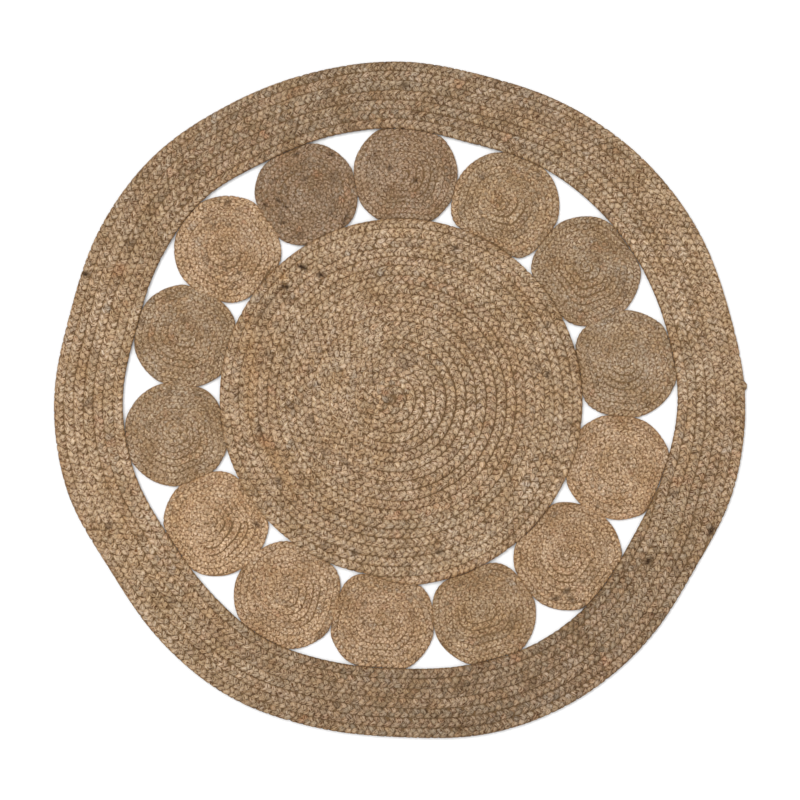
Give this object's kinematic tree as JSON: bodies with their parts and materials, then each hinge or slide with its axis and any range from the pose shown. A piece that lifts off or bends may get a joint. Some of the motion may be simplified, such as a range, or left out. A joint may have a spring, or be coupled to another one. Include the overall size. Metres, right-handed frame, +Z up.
{
  "type": "round jute rug",
  "caption": "Flat round rug of plaited jute: a wide border band round a ring of coiled medallions and a coiled centre mat, with open gaps between the round edges.",
  "frame": {"origin": "on the floor, under the middle of the rug's box", "axes": "+Z up from the floor, +X to the right and +Y up the picture, which looks straight down"},
  "size_m": [1.212, 1.1864, 0.0105],
  "materials": {
    "jute_tan": "matt plaited jute, warm tan",
    "jute_straw": "matt plaited jute, paler straw",
    "jute_grey": "matt plaited jute, greyer and darker"
  },
  "bodies": {
    "root": {"border_band": "jute_tan", "centre_mat": "jute_tan", "medallion_01": "jute_grey", "medallion_02": "jute_tan", "medallion_03": "jute_tan", "medallion_04": "jute_tan", "medallion_05": "jute_straw", "medallion_06": "jute_straw", "medallion_07": "jute_tan", "medallion_08": "jute_straw", "medallion_09": "jute_straw", "medallion_10": "jute_straw", "medallion_11": "jute_tan", "medallion_12": "jute_tan", "medallion_13": "jute_straw", "medallion_14": "jute_grey"}
  },
  "joints": []
}
